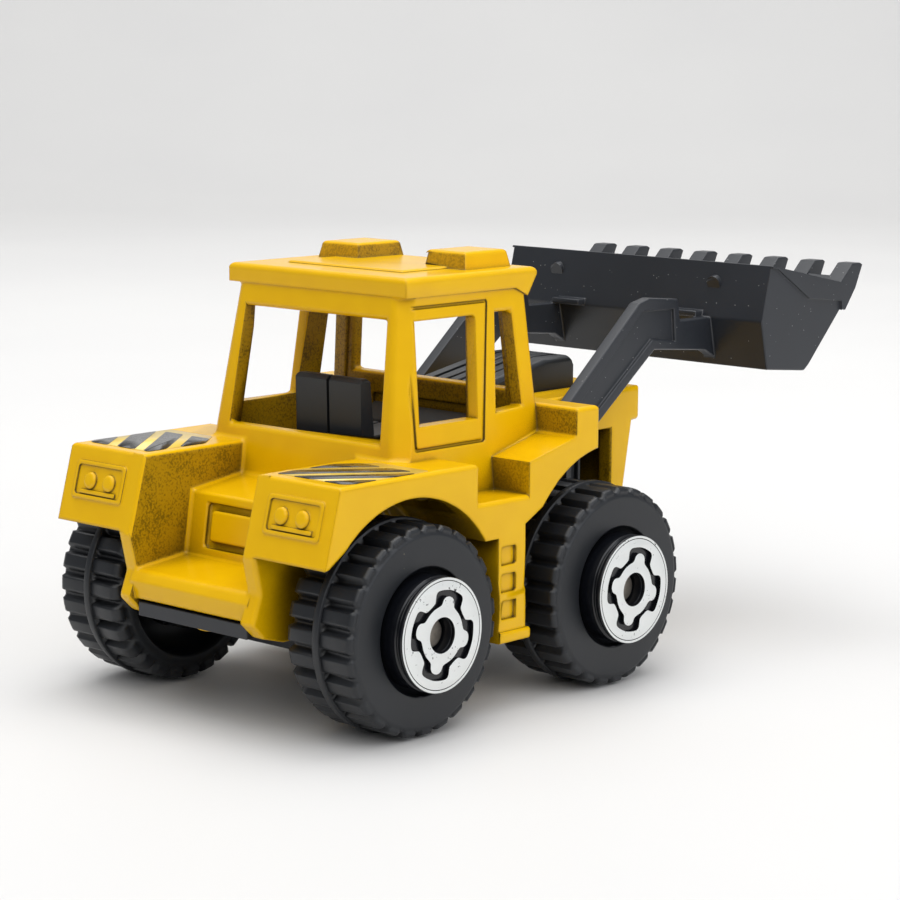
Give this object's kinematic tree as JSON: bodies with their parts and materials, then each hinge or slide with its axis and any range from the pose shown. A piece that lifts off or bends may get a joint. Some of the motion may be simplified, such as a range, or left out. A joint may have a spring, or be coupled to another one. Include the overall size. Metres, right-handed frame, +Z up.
{
  "type": "toy front loader",
  "caption": "Pocket-size toy wheel loader with a die-cast cab body, a tilting toothed shovel on two arms and chunky free-rolling wheels.",
  "frame": {"origin": "centre of the bounding box at ground level, with the shovel raised", "axes": "+X forward along the length to the shovel, +Y to the toy's left, +Z up"},
  "size_m": [0.0746, 0.0396, 0.0384],
  "materials": {
    "yellow_enamel": "thick warm-yellow gloss enamel over a zinc casting",
    "base_black": "satin black moulded plastic",
    "interior_black": "semi-gloss black moulded plastic",
    "shovel_black": "semi-gloss black moulded plastic",
    "steel": "plain steel wire with formed ends",
    "stripe_ink": "printed dark and cream warning bars",
    "tyre_grey": "satin grey-black moulded tyre",
    "hub_black": "gloss black plastic",
    "silver_foil": "hot-stamped silver foil, slightly worn"
  },
  "bodies": {
    "loader": {"body_casting": "yellow_enamel", "base_plate": "base_black", "seat_moulding": "interior_black", "engine_moulding": "interior_black", "rear_axle": "steel", "front_axle": "steel", "stripe_print_left": "stripe_ink", "stripe_print_right": "stripe_ink"},
    "shovel_arms": {"shovel": "shovel_black"},
    "wheel_rear_left": {"tyre_rear_left": "tyre_grey", "hub_rear_left": "hub_black", "hub_print_rear_left": "silver_foil"},
    "wheel_rear_right": {"tyre_rear_right": "tyre_grey", "hub_rear_right": "hub_black", "hub_print_rear_right": "silver_foil"},
    "wheel_front_left": {"tyre_front_left": "tyre_grey", "hub_front_left": "hub_black", "hub_print_front_left": "silver_foil"},
    "wheel_front_right": {"tyre_front_right": "tyre_grey", "hub_front_right": "hub_black", "hub_print_front_right": "silver_foil"}
  },
  "joints": [
    {"name": "shovel_lift", "type": "hinge", "parent": "loader", "child": "shovel_arms", "pos_m": [-0.00595, 0, 0.0165], "axis": [0, 1, 0], "range_deg": [0, 41]},
    {"name": "wheel_rear_left_spin", "type": "hinge", "parent": "loader", "child": "wheel_rear_left", "pos_m": [-0.02695, 0.0141, 0.009], "axis": [0, 1, 0], "continuous": true},
    {"name": "wheel_rear_right_spin", "type": "hinge", "parent": "loader", "child": "wheel_rear_right", "pos_m": [-0.02695, -0.0141, 0.009], "axis": [0, 1, 0], "continuous": true},
    {"name": "wheel_front_left_spin", "type": "hinge", "parent": "loader", "child": "wheel_front_left", "pos_m": [-0.00215, 0.0141, 0.009], "axis": [0, 1, 0], "continuous": true},
    {"name": "wheel_front_right_spin", "type": "hinge", "parent": "loader", "child": "wheel_front_right", "pos_m": [-0.00215, -0.0141, 0.009], "axis": [0, 1, 0], "continuous": true}
  ]
}
